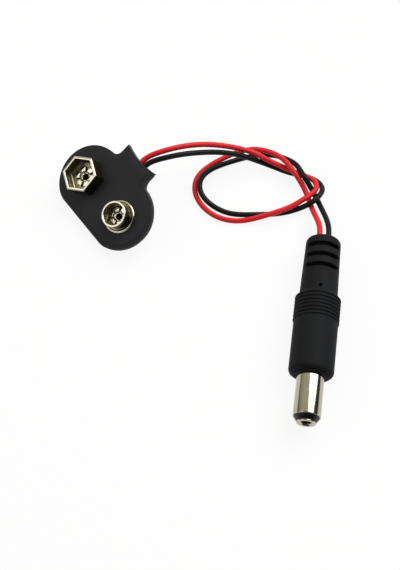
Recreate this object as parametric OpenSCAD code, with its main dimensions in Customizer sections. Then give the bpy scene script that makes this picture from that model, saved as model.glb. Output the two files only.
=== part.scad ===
// 9 V battery snap with two leads and a moulded DC barrel plug.
// The soft snap rests on its straight edge, the leads are tied in one loose overhand knot
// and the plug lies on its collar. +Z is up, the floor is z = 0.

/* [Snap outline] */
// Distance between the two battery terminals
terminal_pitch = 12.7; // [12.5:0.1:12.9]
// Radius of the two round ends
lobe_r = 7.75; // [7.6:0.05:7.9]
// Distance between the centres of the round ends
lobe_spread = 11.2; // [11:0.1:11.6]
// Offset of the round ends from the terminal line towards the lead tab
lobe_lift = 0.2; // [0.1:0.05:0.3]
// Distance from the terminal line to the straight edge
straight_edge = 7.3; // [7.2:0.05:7.4]
// Width of the lead tab
tab_w = 9.4; // [9:0.1:10]
// Distance from the terminal line to the tips of the tab
tab_reach = 11.7; // [11.5:0.1:12.2]
// Depth of the hollow in the end of the tab
tab_dip = 0.6; // [0.4:0.1:0.8]
// Radius of the hollow between a round end and the tab
scallop_r = 1.65; // [1.5:0.05:1.8]

/* [Vinyl covers] */
// Thickness of the vinyl sheet
cover_t = 0.6; // [0.5:0.05:0.7]
// Width of the welded rim
rim_w = 0.7; // [0.6:0.05:0.9]
// Height of the raised face above the rim
rim_drop = 0.2; // [0.15:0.05:0.3]

/* [Board and tags] */
// Thickness of the fibre board
board_t = 0.8; // [0.7:0.05:1]
// Gap between the board and the cover's wall
board_clear = 0.2; // [0.1:0.05:0.3]
// Distance from the terminal line to the board's edge at the tab
board_reach = 3.6; // [3:0.1:3.8]
// Thickness of the solder tags
tag_t = 0.3; // [0.25:0.05:0.4]
// Diameter of the ring of a solder tag
tag_ring_d = 4.6; // [4.4:0.1:5]
// Width of the arm of a solder tag
tag_arm_w = 1.5; // [1.2:0.1:1.8]

/* [Contacts] */
// Thickness of the drawn contact sheet
contact_t = 0.4; // [0.35:0.05:0.45]
// Width across the flats of the hexagonal socket below its folded rim
socket_rim_af = 7.5; // [7.3:0.1:7.7]
// Width across the flats of the hexagonal socket at its foot
socket_foot_af = 7.6; // [7.4:0.1:7.8]
// Width across the flats of the socket's mouth inside the folded rim
socket_mouth_af = 6.3; // [6.1:0.1:6.5]
// Height of the hexagonal socket
socket_h = 3.4; // [3.2:0.05:3.6]
// Turn of the hexagonal socket about its own axis
socket_turn = 36; // [0:1:60]
// Diameter of the stud at its rim
stud_rim_d = 5.7; // [5.6:0.05:5.8]
// Diameter of the stud at its waist
stud_waist_d = 5.1; // [5.05:0.05:5.2]
// Diameter of the flange at the foot of the stud
stud_flange_d = 7.2; // [7:0.1:7.5]
// Height of the stud
stud_h = 3.1; // [2.9:0.05:3.3]

/* [Rivets] */
// Outside diameter of a rivet's shank
rivet_d = 2.2; // [2:0.05:2.3]
// Wall of a rivet's shank
rivet_wall = 0.3; // [0.25:0.05:0.35]
// Diameter of a rivet's flat head
rivet_head_d = 4.2; // [3.8:0.1:4.4]
// Thickness of a rivet's flat head
rivet_head_t = 0.3; // [0.25:0.05:0.4]
// Number of petals in the clenched end
petal_count = 6; // [3:1:6]
// Width of the slit between two petals, as an angle
petal_slit = 16; // [12:2:30]
// Radius of a petal's curl, to the middle of its wall
petal_curl_r = 0.45; // [0.4:0.01:0.46]
// Turn of the petals in the socket
socket_rivet_turn = 11; // [0:1:60]
// Turn of the petals in the stud
stud_rivet_turn = 8; // [0:1:60]
// Gap between a rivet and the holes that it passes
rivet_clear = 0.05; // [0.02:0.01:0.08]

/* [Leads] */
// Diameter of a lead over its insulation
lead_d = 1.2; // [1:0.05:1.25]
// Distance between the two leads where they leave the snap
lead_pitch = 1.35; // [1.3:0.05:1.5]
// Offset of the pair of leads from the middle of the tab
lead_shift = 0.7; // [0.4:0.1:1]
// Extra distance of each lead to the side at its solder joint
lead_splay = 0.8; // [0.6:0.1:1]
// Gap between a lead and the channel that holds it
lead_clear = 0.05; // [0.03:0.01:0.08]
// Diameter of a soldered lead end
solder_d = 1; // [0.8:0.05:1.1]
// Length of a soldered lead end
solder_len = 1.4; // [1:0.1:1.6]

/* [Plug body] */
// Diameter of the smooth grip behind the barrel
grip_d = 9.1; // [8.8:0.1:9.2]
// Length of the smooth grip
grip_len = 11.6; // [11:0.1:14]
// Radius of the grip's front edge
grip_round = 1; // [0.6:0.1:1.2]
// Diameter of the boss round the barrel
boss_d = 6.8; // [6.4:0.1:7]
// Height of the boss round the barrel
boss_h = 0.4; // [0.2:0.1:0.6]
// Diameter of the ribbed collar over its ribs
collar_d = 9.5; // [9.3:0.1:9.8]
// Length of the ribbed collar
collar_len = 5.4; // [5:0.1:6]
// Number of ribs on the collar
rib_count = 7; // [5:1:7]
// Radius of a rib
rib_r = 0.25; // [0.2:0.01:0.3]
// Diameter of the tail next to the collar
tail_root_d = 7.9; // [7.6:0.1:8.1]
// Diameter of the tail at its end
tail_end_d = 7.3; // [7.1:0.1:7.5]
// Length of the tail
tail_len = 14; // [13.5:0.1:15]
// Radius of the tail's end edge
tail_round = 0.8; // [0.5:0.1:1]
// Number of flex grooves in the tail
groove_count = 3; // [1:1:3]
// Width of a flex groove
groove_w = 1; // [0.8:0.1:1.2]
// Distance from one flex groove to the next
groove_pitch = 2.5; // [2.2:0.1:2.7]
// Distance from the tail's end to the first flex groove
groove_start = 2; // [1.6:0.1:2.2]
// Diameter of the core that the flex grooves leave
groove_core_d = 5.2; // [4.8:0.1:5.6]
// Width of the flex grooves, seen from above
groove_span = 6.6; // [6:0.1:6.7]
// Diameter of the gate mark on top of the tail
gate_d = 0.75; // [0.5:0.05:1]
// Depth of the gate mark
gate_depth = 0.8; // [0.5:0.1:1]
// Distance from the collar to the gate mark
gate_gap = 1.5; // [1.3:0.1:2]

/* [Barrel] */
// Outside diameter of the barrel
barrel_d = 5.5; // [5.4:0.05:5.6]
// Length of the barrel in front of the plug body
barrel_len = 9.7; // [9:0.1:11]
// Wall of the barrel's outer sleeve
sleeve_wall = 0.4; // [0.3:0.05:0.5]
// Length of the sleeve inside the plug body
sleeve_root = 4; // [3.5:0.1:4.5]
// Diameter of the sleeve's root inside the plug body
sleeve_root_d = 6; // [5.9:0.1:6.1]
// Diameter of the sleeve's flange inside the plug body
sleeve_flange_d = 6.6; // [6.2:0.1:7.2]
// Thickness of the sleeve's flange
sleeve_flange_t = 0.8; // [0.6:0.1:1]
// Bore of the centre contact
bore_d = 2.1; // [2:0.05:2.15]
// Depth of the centre contact's bore
bore_depth = 11.5; // [10.5:0.1:12.5]
// Wall of the centre contact
contact_wall = 0.4; // [0.3:0.05:0.45]
// Diameter of the centre contact's lip
lip_d = 3.9; // [3.7:0.1:4]
// Thickness of the centre contact's lip
lip_t = 0.3; // [0.2:0.05:0.4]
// Length of the insulator's nose between the lip and the sleeve
nose_len = 1; // [0.8:0.1:1.2]
// Step from the sleeve's edge to the foot of the insulator's nose
nose_step = 0.1; // [0.05:0.05:0.15]
// Distance between the leads inside the plug
core_pitch = 1.9; // [1.8:0.05:2]

/* [Placement] */
// Slope of the snap, which rests on its straight edge
snap_tilt = 29; // [28:0.5:30]
// Compass direction of the lead tab, counted from +X
snap_heading = 45; // [44:0.5:46]
// Plug tip, distance to the right of the snap
plug_x = 47.7; // [47.5:0.1:47.9]
// Plug tip, distance in front of the snap
plug_y = 45.4; // [45.2:0.1:45.6]

/* [Hidden] */
$fn = 96;
// Overlap that cuts use past a face
eps = 0.05;
vinyl_colour = [0.13, 0.13, 0.14];
nickel_colour = [0.78, 0.76, 0.70];
fibre_colour = [0.45, 0.33, 0.22];
tin_colour = [0.72, 0.73, 0.75];
red_colour = [0.86, 0.15, 0.15];
black_colour = [0.09, 0.09, 0.10];
plug_colour = [0.11, 0.11, 0.12];
insulator_colour = [0.06, 0.06, 0.07];

// Outline of the snap
scallop_u = tab_w / 2 + scallop_r;
scallop_v = lobe_lift + sqrt(pow(lobe_r + scallop_r, 2) - pow(scallop_u - lobe_spread / 2, 2));
tab_end_r = (pow(tab_w / 2, 2) + pow(tab_dip, 2)) / (2 * tab_dip);
tab_end_v = tab_reach - tab_dip + tab_end_r;
straight_v = -straight_edge;
cavity_inset = rim_w + cover_t;

// Levels through the snap, counted up from the raised face
face_under = -cover_t;
seam = -rim_drop - cover_t;
flange_under = seam - cover_t;
board_under = face_under - board_t;
tag_under = board_under - tag_t;
head_under = tag_under - rivet_head_t;
head_clear = 0.25;
lead_room = lead_d + 2 * lead_clear;
cavity_floor = min(head_under - head_clear, seam - lead_room - lead_clear);
back_under = cavity_floor - cover_t;
lead_w = (seam + cavity_floor) / 2;

// Solder joints at the snap
lead_u = [lead_shift - lead_pitch / 2, lead_shift + lead_pitch / 2];
joint_u = [lead_u[0] - lead_splay, lead_u[1] + lead_splay];
joint_v = board_reach + solder_d;
insulation_v = joint_v + solder_len;

// Place of the snap: its lowest edge touches the floor and its box is centred on the origin
snap_centre = [-0.4, -0.4];
edge_drop = -straight_v * sin(snap_tilt) - flange_under * cos(snap_tilt);
pan_drop = (-straight_v - rim_w) * sin(snap_tilt) - back_under * cos(snap_tilt);
snap_pos = [snap_centre[0], snap_centre[1], max(edge_drop, pan_drop)];
u_dir = [sin(snap_heading), -cos(snap_heading), 0];
v_dir = [cos(snap_heading) * cos(snap_tilt), sin(snap_heading) * cos(snap_tilt), sin(snap_tilt)];
w_dir = cross(u_dir, v_dir);
function snap_point(u, v) = snap_pos + u * u_dir + v * v_dir + lead_w * w_dir;

// Stations along the plug, counted back from its tip
sleeve_front = lip_t + nose_len;
body_front = barrel_len;
grip_front = body_front + boss_h;
collar_front = grip_front + grip_len;
tail_front = collar_front + collar_len;
tail_end = tail_front + tail_len;
root_depth = 0.1;
root_front = body_front + root_depth;
sleeve_back = body_front + sleeve_root;
insulator_tail = 0.7;
solder_room = 6;
pin_short = 1.8;
insulator_back = sleeve_back + insulator_tail;
joint_back = insulator_back + solder_room;
pin_back = joint_back - pin_short;
collar_core_d = collar_d - 2 * rib_r;
sleeve_bore_r = barrel_d / 2 - sleeve_wall;
contact_r = bore_d / 2 + contact_wall;
pin_r = 0.7;
strap_w = 1.6;
plug_tip = [plug_x, -plug_y, collar_d / 2];
function plug_point(side, s) = plug_tip + [side * core_pitch / 2, s, 0];

// Routes of the leads between the snap and the plug, chosen to tie one loose overhand knot
red_route = [
    [10.6, 9, 11.3], [14.2, 10.7, 11.4], [19.6, 13.5, 9.7], [24.1, 15.4, 7.4], [28, 16.5, 5.3],
    [30.9, 16.6, 4.1], [33.7, 16.1, 3], [36.3, 15.6, 2.2], [38.8, 14.8, 2], [41.7, 13.8, 2.1],
    [43.4, 13, 2.4], [44.5, 12.1, 2.7], [45, 11, 2.95], [45, 9.8, 3.15], [44.3, 8.5, 3.2],
    [42.8, 7, 3.1], [40.5, 5.2, 2.6], [37.5, 3.5, 2.2], [33.7, 1.9, 1.6], [28.6, 0.7, 0.7],
    [23.9, 1.3, 0.7], [20.4, 3.8, 0.7], [18.5, 7.2, 0.7], [18.6, 10.9, 0.7], [20.3, 13.7, 0.7],
    [23.8, 16.7, 1], [29.7, 19.3, 1.8], [33.4, 18.7, 2.6], [36.6, 16.9, 3.3], [39, 14.4, 3.5],
    [40.9, 12.3, 2.8], [42.7, 10.2, 1.5], [44.1, 7.3, 1], [45.4, 3.6, 2.3], [46.6, -0.8, 4.3]
];
black_route = [
    [11.3, 7.7, 10.9], [14.8, 9.1, 11], [19.2, 11.5, 9.4], [23.6, 13.7, 7.2], [27.5, 15, 5.1],
    [31.2, 15.8, 2.7], [35.1, 15.9, 0.9], [38.7, 15, 0.7], [42.2, 14.5, 0.7], [45, 13.2, 1.2],
    [46.3, 11.2, 2], [46.1, 8.7, 3], [44.5, 6.4, 3], [41.8, 5.2, 1.6], [38.5, 4.2, 0.7],
    [35, 3.3, 0.7], [31.4, 2.7, 0.7], [27.2, 2.4, 0.7], [23.1, 3.7, 0.8], [20.3, 5.8, 1.6],
    [19.4, 8.5, 1.8], [20.2, 11.4, 1.6], [22.6, 14, 1.2], [26.6, 16.6, 0.8], [31.3, 18.6, 0.8],
    [35.1, 18.7, 1.3], [38.1, 17.3, 2.3], [40.3, 15, 3.6], [42, 12.6, 3.5], [44, 10.7, 1.8],
    [45.8, 7.9, 1.2], [47.4, 3.9, 2.5], [48.5, -0.6, 4.3]
];
lead_sides = 8;

// Places its children in the snap's own frame: x from socket to stud, y to the tab, z out of the face
module in_snap() {
    translate(snap_pos)
        rotate([0, 0, snap_heading - 90])
            rotate([snap_tilt, 0, 0])
                children();
}

// Places its children in the plug's own frame: z runs back from the tip, -y is up
module in_plug() {
    translate(plug_tip)
        rotate([-90, 0, 0])
            children();
}

// Outline of the snap, drawn in by an even inset
module snap_outline(inset = 0) {
    difference() {
        union() {
            for (side = [-1, 1])
                translate([side * lobe_spread / 2, lobe_lift])
                    circle(r = lobe_r - inset);
            translate([-lobe_spread / 2, straight_v + inset])
                square([lobe_spread, lobe_lift - straight_v - inset]);
            translate([inset - tab_w / 2, lobe_lift])
                square([tab_w - 2 * inset, tab_reach - lobe_lift]);
            polygon([
                [-lobe_spread / 2, lobe_lift], [lobe_spread / 2, lobe_lift],
                [scallop_u, scallop_v], [-scallop_u, scallop_v]
            ]);
        }
        for (side = [-1, 1])
            translate([side * scallop_u, scallop_v])
                circle(r = scallop_r + inset);
        translate([0, tab_end_v])
            circle(r = tab_end_r + inset);
        translate([-lobe_spread, straight_v + inset - lobe_r])
            square([2 * lobe_spread, lobe_r]);
    }
}

// Hole for a rivet at one terminal, through everything
module rivet_hole(side) {
    translate([side * terminal_pitch / 2, 0, back_under])
        cylinder(d = rivet_d + 2 * rivet_clear, h = socket_h - back_under);
}

// Upper vinyl sheet: a welded rim and a raised face that is hollow underneath
module face_cover() {
    color(vinyl_colour)
        in_snap()
            difference() {
                union() {
                    translate([0, 0, seam])
                        linear_extrude(cover_t)
                            snap_outline();
                    translate([0, 0, seam])
                        linear_extrude(-seam)
                            snap_outline(rim_w);
                }
                translate([0, 0, seam - eps])
                    linear_extrude(rim_drop + eps)
                        snap_outline(cavity_inset);
                for (side = [-1, 1])
                    rivet_hole(side);
            }
}

// Channel that both leads share through the wall at the end of the tab
module lead_channel() {
    channel_v = tab_reach - tab_dip - 2 * cavity_inset;
    channel_len = 2 * cavity_inset + 2 * tab_dip;
    for (u = lead_u)
        translate([u, channel_v, lead_w])
            rotate([-90, 0, 0])
                cylinder(d = lead_room, h = channel_len);
    translate([lead_u[0], channel_v, lead_w - lead_room / 2])
        cube([lead_pitch, channel_len, lead_room]);
    translate([lead_u[0] - lead_room / 2, channel_v, lead_w])
        cube([lead_pitch + lead_room, channel_len, seam - lead_w + eps]);
}

// Lower vinyl shell: a welded rim and a shallow pan
module back_cover() {
    color(vinyl_colour)
        in_snap()
            difference() {
                union() {
                    translate([0, 0, flange_under])
                        linear_extrude(cover_t)
                            snap_outline();
                    translate([0, 0, back_under])
                        linear_extrude(seam - back_under)
                            snap_outline(rim_w);
                }
                translate([0, 0, cavity_floor])
                    linear_extrude(seam - cavity_floor + eps)
                        snap_outline(cavity_inset);
                lead_channel();
            }
}

// Fibre board that carries both contacts
module terminal_board() {
    color(fibre_colour)
        in_snap()
            difference() {
                translate([0, 0, board_under])
                    linear_extrude(board_t)
                        intersection() {
                            snap_outline(cavity_inset + board_clear);
                            translate([-lobe_spread, straight_v])
                                square([2 * lobe_spread, board_reach - straight_v]);
                        }
                for (side = [-1, 1])
                    rivet_hole(side);
            }
}

// Hexagonal column between two widths across its flats
module hexagon(foot_af, top_af, h) {
    cylinder(d1 = foot_af / cos(30), d2 = top_af / cos(30), h = h, $fn = 6);
}

// Drawn hexagonal socket with its rim folded inwards
module socket_cup() {
    shoulder_w = 0.25;
    shoulder_h = 0.35;
    wall_h = socket_h - shoulder_h;
    room_h = socket_h - 2 * contact_t;
    color(nickel_colour)
        in_snap()
            difference() {
                translate([-terminal_pitch / 2, 0, 0])
                    rotate([0, 0, socket_turn])
                        difference() {
                            union() {
                                hexagon(socket_foot_af, socket_rim_af, wall_h);
                                translate([0, 0, wall_h])
                                    hexagon(socket_rim_af, socket_rim_af - 2 * shoulder_w, shoulder_h);
                            }
                            translate([0, 0, contact_t])
                                hexagon(socket_foot_af - 2 * contact_t, socket_rim_af - 2 * contact_t, room_h);
                            translate([0, 0, contact_t])
                                hexagon(socket_mouth_af, socket_mouth_af, socket_h);
                        }
                rivet_hole(-1);
            }
}

// Half section of the stud: flange with a rolled edge, waisted wall and rounded rim
module stud_section() {
    rim_r = stud_rim_d / 2;
    waist_r = stud_waist_d / 2;
    flange_r = stud_flange_d / 2;
    roll_swell = 0.1;
    foot_flare = 0.3;
    foot_r = waist_r + foot_flare;
    roll_r = contact_t / 2 + roll_swell;
    waist_h = stud_h * 0.45;
    land_h = stud_h - contact_t;
    square([flange_r - roll_r, contact_t]);
    translate([flange_r - roll_r, roll_r])
        circle(r = roll_r);
    polygon([
        [waist_r - contact_t, 0], [foot_r, 0], [foot_r, contact_t], [waist_r, waist_h], [rim_r, land_h],
        [rim_r, stud_h - contact_t / 2], [rim_r - contact_t, stud_h - contact_t / 2],
        [rim_r - contact_t, land_h], [waist_r - contact_t, waist_h]
    ]);
    translate([rim_r - contact_t / 2, stud_h - contact_t / 2])
        circle(r = contact_t / 2);
}

// Drawn round stud, a hollow cup
module stud_cup() {
    color(nickel_colour)
        in_snap()
            difference() {
                translate([terminal_pitch / 2, 0, 0])
                    rotate_extrude()
                        stud_section();
                rivet_hole(1);
            }
}

// Tubular rivet: flat head under the tag, shank through the stack, petals curled onto the contact's floor
module rivet(turn) {
    bore_r = rivet_d / 2 - rivet_wall;
    curl_mid = rivet_d / 2 - rivet_wall / 2 + petal_curl_r;
    petal_arc = 360 / petal_count - petal_slit;
    color(nickel_colour) {
        difference() {
            union() {
                translate([0, 0, head_under])
                    cylinder(d = rivet_head_d, h = rivet_head_t);
                translate([0, 0, head_under])
                    cylinder(d = rivet_d, h = contact_t - head_under);
            }
            translate([0, 0, head_under - eps])
                cylinder(r = bore_r, h = contact_t - head_under + 2 * eps);
        }
        for (i = [0 : petal_count - 1])
            translate([0, 0, contact_t])
                rotate([0, 0, turn + i * 360 / petal_count])
                    rotate_extrude(angle = petal_arc)
                        intersection() {
                            translate([curl_mid, 0])
                                difference() {
                                    circle(r = petal_curl_r + rivet_wall / 2);
                                    circle(r = petal_curl_r - rivet_wall / 2);
                                }
                            square([2 * curl_mid, 2 * curl_mid]);
                        }
    }
}

module socket_rivet() {
    in_snap()
        translate([-terminal_pitch / 2, 0, 0])
            rivet(socket_rivet_turn);
}

module stud_rivet() {
    in_snap()
        translate([terminal_pitch / 2, 0, 0])
            rivet(stud_rivet_turn);
}

// Solder tag: a ring held by the rivet and an arm to the lead's solder joint
module tag_plate(side, joint) {
    ring_u = side * terminal_pitch / 2;
    reach = [joint - ring_u, joint_v];
    difference() {
        translate([0, 0, tag_under])
            linear_extrude(tag_t)
                translate([ring_u, 0]) {
                    circle(d = tag_ring_d);
                    rotate(atan2(reach[1], reach[0]))
                        translate([0, -tag_arm_w / 2])
                            square([norm(reach), tag_arm_w]);
                }
        rivet_hole(side);
    }
}

module socket_tag() {
    color(tin_colour)
        in_snap()
            tag_plate(-1, joint_u[0]);
}

module stud_tag() {
    color(tin_colour)
        in_snap()
            tag_plate(1, joint_u[1]);
}

// Soldered lead end that grips the tip of a tag
module lead_joint(side, joint) {
    color(tin_colour)
        in_snap()
            difference() {
                translate([joint, joint_v, lead_w])
                    rotate([-90, 0, 0]) {
                        cylinder(d = solder_d, h = solder_len);
                        sphere(d = solder_d);
                    }
                tag_plate(side, joint);
            }
}

module socket_solder() {
    lead_joint(-1, joint_u[0]);
}

module stud_solder() {
    lead_joint(1, joint_u[1]);
}

// Direction of a route at one of its points
function heading(path, i) =
    let (a = path[max(i - 1, 0)], b = path[min(i + 1, len(path) - 1)]) (b - a) / norm(b - a);

// Ring of points round a route at one of its points
function ring(path, i) =
    let (
        t = heading(path, i),
        across = cross(t, [0, 0, 1]) / norm(cross(t, [0, 0, 1])),
        over = cross(across, t)
    )
    [
        for (k = [0 : lead_sides - 1])
            let (a = (k + 0.5) * 360 / lead_sides)
                path[i] + lead_d / 2 * (cos(a) * across + sin(a) * over)
    ];

// Round tube swept along a route
module tube(path) {
    last = (len(path) - 1) * lead_sides;
    points = [for (i = [0 : len(path) - 1]) each ring(path, i)];
    walls = [
        for (i = [0 : len(path) - 2], k = [0 : lead_sides - 1])
            let (a = i * lead_sides + k, b = i * lead_sides + (k + 1) % lead_sides)
                each [[a, b, b + lead_sides], [a, b + lead_sides, a + lead_sides]]
    ];
    front = [[for (k = [0 : lead_sides - 1]) lead_sides - 1 - k]];
    back = [[for (k = [0 : lead_sides - 1]) last + k]];
    polyhedron(points = points, faces = concat(walls, front, back));
}

// Whole path of a lead: out of the snap, through the knot and into the plug
function lead_path(i, route) = concat(
    [
        snap_point(joint_u[i], insulation_v),
        snap_point(joint_u[i], insulation_v + lead_d / 2),
        snap_point(lead_u[i], tab_reach - tab_dip - cavity_inset),
        snap_point(lead_u[i], tab_reach)
    ],
    route,
    [plug_point(2 * i - 1, tail_end), plug_point(2 * i - 1, joint_back)]
);

module red_lead() {
    color(red_colour)
        tube(lead_path(0, red_route));
}

module black_lead() {
    color(black_colour)
        tube(lead_path(1, black_route));
}

// Outer sleeve of the plug with its hidden flange and solder strap
module sleeve_solid() {
    difference() {
        union() {
            translate([0, 0, sleeve_front])
                cylinder(d = barrel_d, h = sleeve_back - sleeve_front);
            translate([0, 0, root_front])
                cylinder(d = sleeve_root_d, h = sleeve_back - root_front);
            translate([0, 0, sleeve_back - sleeve_flange_t])
                cylinder(d = sleeve_flange_d, h = sleeve_flange_t);
        }
        translate([0, 0, sleeve_front - eps])
            cylinder(r = sleeve_bore_r, h = sleeve_back - sleeve_front + 2 * eps);
    }
    translate([sleeve_bore_r, -strap_w / 2, sleeve_back - sleeve_flange_t])
        cube([sleeve_wall, strap_w, joint_back - sleeve_back + sleeve_flange_t]);
}

module plug_barrel() {
    color(nickel_colour)
        in_plug()
            sleeve_solid();
}

// Insulating sleeve between barrel and centre contact, with a nose that covers the barrel's edge
module insulator_solid() {
    nose_foot_r = barrel_d / 2 - nose_step;
    difference() {
        union() {
            translate([0, 0, lip_t])
                cylinder(r1 = lip_d / 2, r2 = nose_foot_r, h = nose_len);
            translate([0, 0, sleeve_front])
                cylinder(r = sleeve_bore_r, h = insulator_back - sleeve_front);
        }
        translate([0, 0, lip_t - eps])
            cylinder(r = contact_r, h = insulator_back - lip_t + 2 * eps);
    }
}

module plug_insulator() {
    color(insulator_colour)
        in_plug()
            insulator_solid();
}

// Centre contact: a bored tube with a rounded lip and a solder pin
module contact_solid() {
    lip_edge = lip_t / 2;
    mouth = lip_t;
    difference() {
        union() {
            cylinder(d = lip_d - lip_t, h = lip_t);
            translate([0, 0, lip_edge])
                rotate_extrude()
                    translate([lip_d / 2 - lip_edge, 0])
                        circle(r = lip_edge);
            cylinder(r = contact_r, h = insulator_back);
        }
        translate([0, 0, -eps])
            cylinder(d = bore_d, h = bore_depth + eps);
        translate([0, 0, -eps])
            cylinder(d1 = bore_d + 2 * (mouth + eps), d2 = bore_d, h = mouth + eps);
    }
    translate([0, 0, insulator_back])
        cylinder(r = pin_r, h = pin_back - insulator_back);
}

module plug_contact() {
    color(nickel_colour)
        in_plug()
            contact_solid();
}

// Soldered end of the red lead, against the centre contact's pin
module contact_joint() {
    difference() {
        translate([-core_pitch / 2, 0, pin_back - solder_len])
            cylinder(d = solder_d, h = joint_back - pin_back + solder_len);
        translate([0, 0, insulator_back])
            cylinder(r = pin_r, h = pin_back - insulator_back);
    }
}

module contact_solder() {
    color(tin_colour)
        in_plug()
            contact_joint();
}

// Soldered end of the black lead, bent out to the sleeve's strap
module barrel_joint() {
    bend = joint_back - solder_d / 2;
    translate([core_pitch / 2, 0, bend])
        sphere(d = solder_d);
    translate([core_pitch / 2, 0, bend])
        cylinder(d = solder_d, h = solder_d / 2);
    translate([core_pitch / 2, 0, bend])
        rotate([0, 90, 0])
            cylinder(d = solder_d, h = sleeve_bore_r - core_pitch / 2);
}

module barrel_solder() {
    color(tin_colour)
        in_plug()
            barrel_joint();
}

// Half section of the moulded body: boss, rounded grip, ribbed collar and tapered tail
module body_section() {
    rib_pitch = (collar_len - 2 * rib_r) / (rib_count - 1);
    ramp = (collar_core_d - tail_root_d) / 2;
    translate([0, body_front])
        square([boss_d / 2, boss_h + eps]);
    translate([0, grip_front])
        square([grip_d / 2 - grip_round, grip_len]);
    translate([0, grip_front + grip_round])
        square([grip_d / 2, grip_len - grip_round]);
    translate([grip_d / 2 - grip_round, grip_front + grip_round])
        circle(r = grip_round);
    translate([0, collar_front])
        square([collar_core_d / 2, collar_len]);
    for (i = [0 : rib_count - 1])
        translate([collar_core_d / 2, collar_front + rib_r + i * rib_pitch])
            circle(r = rib_r);
    polygon([
        [0, tail_front - eps], [collar_core_d / 2, tail_front], [tail_root_d / 2, tail_front + ramp],
        [tail_end_d / 2, tail_end - tail_round], [0, tail_end - tail_round]
    ]);
    translate([0, tail_front])
        square([tail_end_d / 2 - tail_round, tail_len]);
    translate([tail_end_d / 2 - tail_round, tail_end - tail_round])
        circle(r = tail_round);
}

// Flex groove, cut from above and below so that webs stay at both sides
module flex_groove(s) {
    translate([0, 0, s])
        intersection() {
            difference() {
                cylinder(d = 2 * tail_root_d, h = groove_w);
                translate([0, 0, -eps])
                    cylinder(d = groove_core_d, h = groove_w + 2 * eps);
            }
            translate([-groove_span / 2, -tail_root_d, 0])
                cube([groove_span, 2 * tail_root_d, groove_w]);
        }
}

// Moulded plug body with flex grooves, gate mark and room for what it encloses
module plug_body() {
    color(plug_colour)
        in_plug()
            difference() {
                rotate_extrude()
                    body_section();
                for (i = [0 : groove_count - 1])
                    flex_groove(tail_end - groove_start - groove_w - i * groove_pitch);
                translate([0, -tail_root_d / 2 + gate_depth, tail_front + gate_gap])
                    rotate([90, 0, 0])
                        cylinder(d = gate_d, h = tail_root_d);
                translate([0, 0, body_front - eps])
                    cylinder(d = barrel_d, h = sleeve_root + eps);
                translate([0, 0, body_front])
                    cylinder(r = sleeve_bore_r, h = insulator_back - body_front);
                translate([0, 0, insulator_back - eps])
                    cylinder(r = pin_r, h = pin_back - insulator_back + eps);
                sleeve_solid();
                contact_joint();
                barrel_joint();
                for (side = [-1, 1])
                    translate([side * core_pitch / 2, 0, joint_back])
                        cylinder(d = lead_room, h = tail_end - joint_back + eps);
            }
}

face_cover();
back_cover();
terminal_board();
socket_cup();
stud_cup();
socket_rivet();
stud_rivet();
socket_tag();
stud_tag();
socket_solder();
stud_solder();
red_lead();
black_lead();
plug_body();
plug_barrel();
plug_insulator();
plug_contact();
contact_solder();
barrel_solder();
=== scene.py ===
"""Looks of a 9 V battery snap whose two leads are knotted and end in a DC barrel plug.

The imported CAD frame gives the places. The visible pieces are rebuilt here as smooth surfaces with
procedural finishes, and lit and seen as in a product photograph on white. Lengths are in millimetres
until a mesh is made, and then in metres.
"""

import logging
import math
from dataclasses import dataclass, field
from enum import Enum
from functools import cache
from typing import Any, Sequence

import bmesh
import bpy
import numpy as np
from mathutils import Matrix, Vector
from mathutils.geometry import delaunay_2d_cdt


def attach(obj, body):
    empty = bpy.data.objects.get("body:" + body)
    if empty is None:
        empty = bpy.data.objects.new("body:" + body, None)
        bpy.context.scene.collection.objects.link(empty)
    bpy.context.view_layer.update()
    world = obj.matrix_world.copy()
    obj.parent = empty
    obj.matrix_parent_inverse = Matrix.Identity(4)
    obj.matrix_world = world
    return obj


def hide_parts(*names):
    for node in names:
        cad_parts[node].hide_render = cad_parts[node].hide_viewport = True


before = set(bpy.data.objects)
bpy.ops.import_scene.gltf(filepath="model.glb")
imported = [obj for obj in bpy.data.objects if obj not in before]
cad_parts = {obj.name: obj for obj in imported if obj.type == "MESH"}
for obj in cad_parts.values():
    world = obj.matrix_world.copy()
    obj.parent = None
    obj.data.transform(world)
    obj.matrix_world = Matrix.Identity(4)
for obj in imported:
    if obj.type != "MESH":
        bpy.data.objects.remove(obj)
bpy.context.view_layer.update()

MM = 0.001
WELD = 1e-7
# Range that most of Blender's noise lies in
NOISE_LOW = 0.3
NOISE_HIGH = 0.7
MOTTLE_OCTAVES = 2.0
MOTTLE_ROUGHNESS = 0.55
GRAIN_ROUGHNESS = 0.6
CELL_SMOOTHNESS = 0.6
# Kind of triangulation that keeps only what lies within the lines
WITHIN_LINES = 1
LINE_TOLERANCE = 1e-6
BODY = "root"
LOG = logging.getLogger("battery_snap")

Array = np.ndarray
Socket = bpy.types.NodeSocket
Tree = bpy.types.NodeTree


class Slot(str, Enum):
    """Material slots of the record."""

    VINYL = "vinyl"
    FIBRE = "fibre_board"
    NICKEL = "nickel"
    TINNED = "tinned_brass"
    SOLDER = "solder"
    RED = "red_insulation"
    BLACK = "black_insulation"
    PLUG = "plug_plastic"
    NOSE = "insulator_plastic"


def linear(colour: str) -> tuple[float, float, float, float]:
    """Linear RGBA of an sRGB hex colour.

    A dark channel is divided by 12.92; a brighter one follows the 2.4 power curve.

    Args:
        colour: The colour, such as "#26262a".

    Returns:
        Red, green, blue and alpha.
    """
    channels = np.array([int(colour[i : i + 2], 16) for i in (1, 3, 5)]) / 255
    curved = ((channels + 0.055) / 1.055) ** 2.4
    return (*np.where(channels <= 0.04045, channels / 12.92, curved).tolist(), 1.0)


def per_mm(size: float) -> float:
    """Texture scale, in repeats per metre, of a pattern of that size in millimetres."""
    return 1 / (size * MM)


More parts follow.
